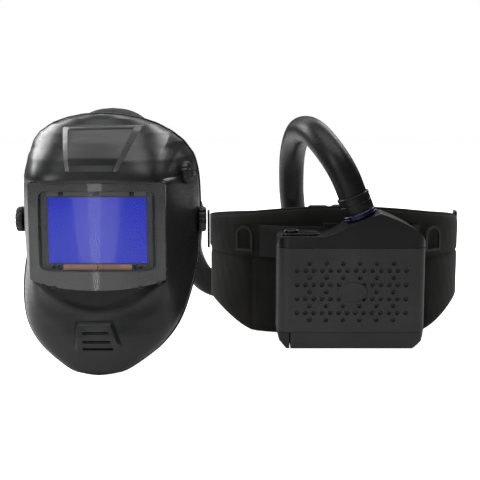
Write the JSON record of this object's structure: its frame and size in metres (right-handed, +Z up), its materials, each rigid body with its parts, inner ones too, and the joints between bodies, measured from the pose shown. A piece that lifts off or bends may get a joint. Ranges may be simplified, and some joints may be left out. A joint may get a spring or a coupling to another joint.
{
  "type": "powered air respirator",
  "caption": "Welding helmet with flip-up shell, headgear and crown air duct, fed by a breathing hose from a belt-worn filter blower on a padded waist belt.",
  "frame": {"origin": "on the floor plane, under the middle of the whole set without its hose", "axes": "+Z up; the helmet and the blower face -Y; the helmet is on the -X side and the belt with the blower on the +X side"},
  "size_m": [0.6271, 0.4828, 0.3181],
  "materials": {
    "shell_black": "smooth satin black moulding",
    "headgear_black": "moulded black plastic",
    "clear_lens": "clear polycarbonate",
    "filter_blue": "dark blue welding filter glass",
    "solar": "copper brown solar cells",
    "fabric_black": "woven black padding cloth",
    "webbing": "ribbed black webbing",
    "hose": "ribbed black hose",
    "housing": "fine textured charcoal plastic",
    "housing_dark": "fine textured dark plastic",
    "collar_blue": "dark blue plastic",
    "mesh_steel": "fine steel mesh",
    "motor_steel": "drawn steel",
    "filter_media": "white filter fleece",
    "seal_rubber": "soft black rubber",
    "board_green": "green solder mask",
    "cell_wrap": "shrink wrapped cells",
    "indicator": "pale translucent window"
  },
  "bodies": {
    "main": {"air_diffuser": "housing_dark", "air_duct": "housing_dark", "back_pad": "fabric_black", "band_tail_left": "headgear_black", "band_tail_right": "headgear_black", "belt_clip": "housing_dark", "blower_cuff": "hose", "buckle_female": "headgear_black", "circuit_board": "board_green", "control_panel": "headgear_black", "crown_strap": "headgear_black", "fan_motor": "motor_steel", "fan_scroll": "housing_dark", "filter_seal": "seal_rubber", "headband": "headgear_black", "helmet_cuff": "hose", "hose_inlet": "housing_dark", "hose_tube": "hose", "indicator_window": "indicator", "nape_pad": "fabric_black", "outlet_spigot": "housing_dark", "particle_filter": "filter_media", "pivot_bolt_left": "headgear_black", "pivot_bolt_right": "headgear_black", "pivot_bracket_left": "headgear_black", "pivot_bracket_right": "headgear_black", "prefilter": "filter_media", "ratchet_housing": "headgear_black", "rear_housing": "housing_dark", "spark_arrestor": "mesh_steel", "sweatband": "fabric_black", "top_housing": "housing", "web_outlet_left": "headgear_black", "web_outlet_right": "headgear_black", "web_slider_left": "headgear_black", "web_slider_right": "headgear_black", "webbing_front": "webbing", "webbing_left": "webbing", "webbing_right": "webbing"},
    "shell": {"helmet_shell": "shell_black", "cover_lens": "clear_lens", "lens_bezel": "headgear_black", "cartridge_holder": "headgear_black", "filter_cartridge": "headgear_black", "filter_glass": "filter_blue", "solar_panel": "solar", "inner_lens": "clear_lens", "face_seal": "fabric_black"},
    "shade_knob": {"shade_knob": "headgear_black"},
    "pivot_knob_left": {"pivot_knob_left": "headgear_black"},
    "pivot_knob_right": {"pivot_knob_right": "headgear_black"},
    "ratchet_knob": {"ratchet_knob": "headgear_black"},
    "power_button": {"power_button": "housing_dark"},
    "filter_cover": {"filter_cover": "housing"},
    "battery": {"battery_case": "housing", "battery_cells": "cell_wrap"},
    "battery_latch": {"battery_latch": "housing_dark"},
    "lock_collar": {"lock_collar": "collar_blue"},
    "impeller": {"impeller": "headgear_black"},
    "buckle_male": {"buckle_male": "headgear_black"}
  },
  "joints": [
    {"name": "helmet_tilt", "type": "hinge", "parent": "main", "child": "shell", "pos_m": [-0.186, -0.052, 0.172], "axis": [-1, 0, 0], "range_deg": [0, 55]},
    {"name": "shade_turn", "type": "hinge", "parent": "shell", "child": "shade_knob", "pos_m": [-0.0855, -0.118, 0.239], "axis": [0.9564, -0.2704, 0.1102], "range_deg": [0, 270]},
    {"name": "pivot_left_turn", "type": "hinge", "parent": "main", "child": "pivot_knob_left", "pos_m": [-0.306, -0.052, 0.172], "axis": [-1, 0, 0], "continuous": true},
    {"name": "pivot_right_turn", "type": "hinge", "parent": "main", "child": "pivot_knob_right", "pos_m": [-0.066, -0.052, 0.172], "axis": [1, 0, 0], "continuous": true},
    {"name": "ratchet_turn", "type": "hinge", "parent": "main", "child": "ratchet_knob", "pos_m": [-0.186, 0.07049, 0.17334], "axis": [0, 1, 0], "continuous": true},
    {"name": "power_press", "type": "slide", "parent": "main", "child": "power_button", "axis": [0, 0, -1], "range_m": [0, 0.001], "stiffness_N_per_m": 400, "springref_m": -0.002},
    {"name": "filter_cover_off", "type": "slide", "parent": "main", "child": "filter_cover", "axis": [0, -1, 0], "range_m": [0, 0.04]},
    {"name": "battery_out", "type": "slide", "parent": "main", "child": "battery", "axis": [-1, 0, 0], "range_m": [0, 0.19]},
    {"name": "latch_press", "type": "slide", "parent": "battery", "child": "battery_latch", "axis": [1, 0, 0], "range_m": [0, 0.001], "stiffness_N_per_m": 400, "springref_m": -0.002},
    {"name": "collar_lock", "type": "hinge", "parent": "main", "child": "lock_collar", "pos_m": [0.1463, -0.041, 0.1768], "axis": [-0.37, 0, 0.929], "range_deg": [0, 40]},
    {"name": "fan_spin", "type": "hinge", "parent": "main", "child": "impeller", "pos_m": [0.125, -0.027, 0.082], "axis": [0, 1, 0], "continuous": true},
    {"name": "buckle_release", "type": "slide", "parent": "main", "child": "buckle_male", "axis": [-1, 0, 0], "range_m": [0, 0.025]}
  ]
}
